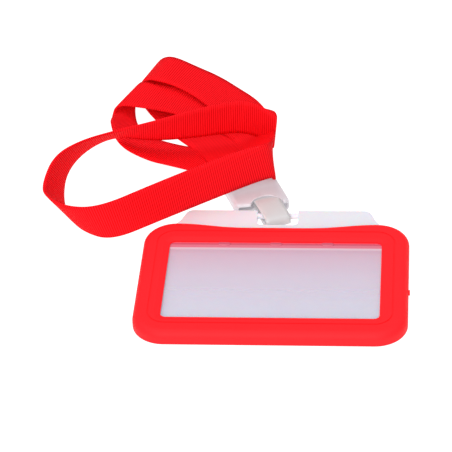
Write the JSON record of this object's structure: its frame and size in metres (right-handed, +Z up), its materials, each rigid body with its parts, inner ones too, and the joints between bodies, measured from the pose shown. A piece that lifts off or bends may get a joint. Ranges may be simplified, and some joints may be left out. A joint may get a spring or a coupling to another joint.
{
  "type": "lanyard badge holder",
  "caption": "Framed rigid card holder with a slide-out card tray, a strap clip on its tab and a loose woven neck ribbon folded beside it.",
  "frame": {"origin": "centre of the case's flat back face, which lies on the table", "axes": "+X to the right along the case's long side, +Y from the case towards its pull tab and clip, +Z up through the window"},
  "size_m": [0.1514, 0.201, 0.031],
  "materials": {
    "frame_red": "matte soft-touch red rubber, slightly satin on the lip",
    "window_clear": "clear moulded plastic with a faint milky sheen",
    "case_white": "fine matte white moulded plastic",
    "strap_white": "soft translucent white plastic strap",
    "clip_white": "semi-gloss white moulded plastic",
    "crimp_metal": "plain bright steel",
    "ribbon_red": "red ribbed grosgrain ribbon with fine cross ribs"
  },
  "bodies": {
    "case": {"bumper_frame": "frame_red", "window_cover": "window_clear", "back_plate": "case_white"},
    "tray": {"card_tray": "case_white"},
    "strap": {"clip_strap": "strap_white"},
    "clip": {"clip_housing": "clip_white", "ribbon_crimp": "crimp_metal", "crimp_staple": "crimp_metal", "ribbon_lower_run": "ribbon_red", "ribbon_top_roll": "ribbon_red", "ribbon_top_run": "ribbon_red", "ribbon_near_rise": "ribbon_red", "ribbon_front_loop": "ribbon_red", "ribbon_middle_run": "ribbon_red", "ribbon_left_roll": "ribbon_red", "ribbon_left_run": "ribbon_red"}
  },
  "joints": [
    {"name": "tray_slide", "type": "slide", "parent": "case", "child": "tray", "axis": [0, 1, 0], "range_m": [0, 0.058]},
    {"name": "strap_swing", "type": "hinge", "parent": "tray", "child": "strap", "pos_m": [-0.0018, 0.047, 0.0028], "axis": [1, 0, 0], "range_deg": [0, 40], "deforming": ["clip_strap"]},
    {"name": "clip_yaw", "type": "hinge", "parent": "strap", "child": "clip", "pos_m": [-0.0018, 0.047, 0.0028], "axis": [0, 0, 1], "range_deg": [-22, 0], "deforming": ["clip_strap"]}
  ]
}
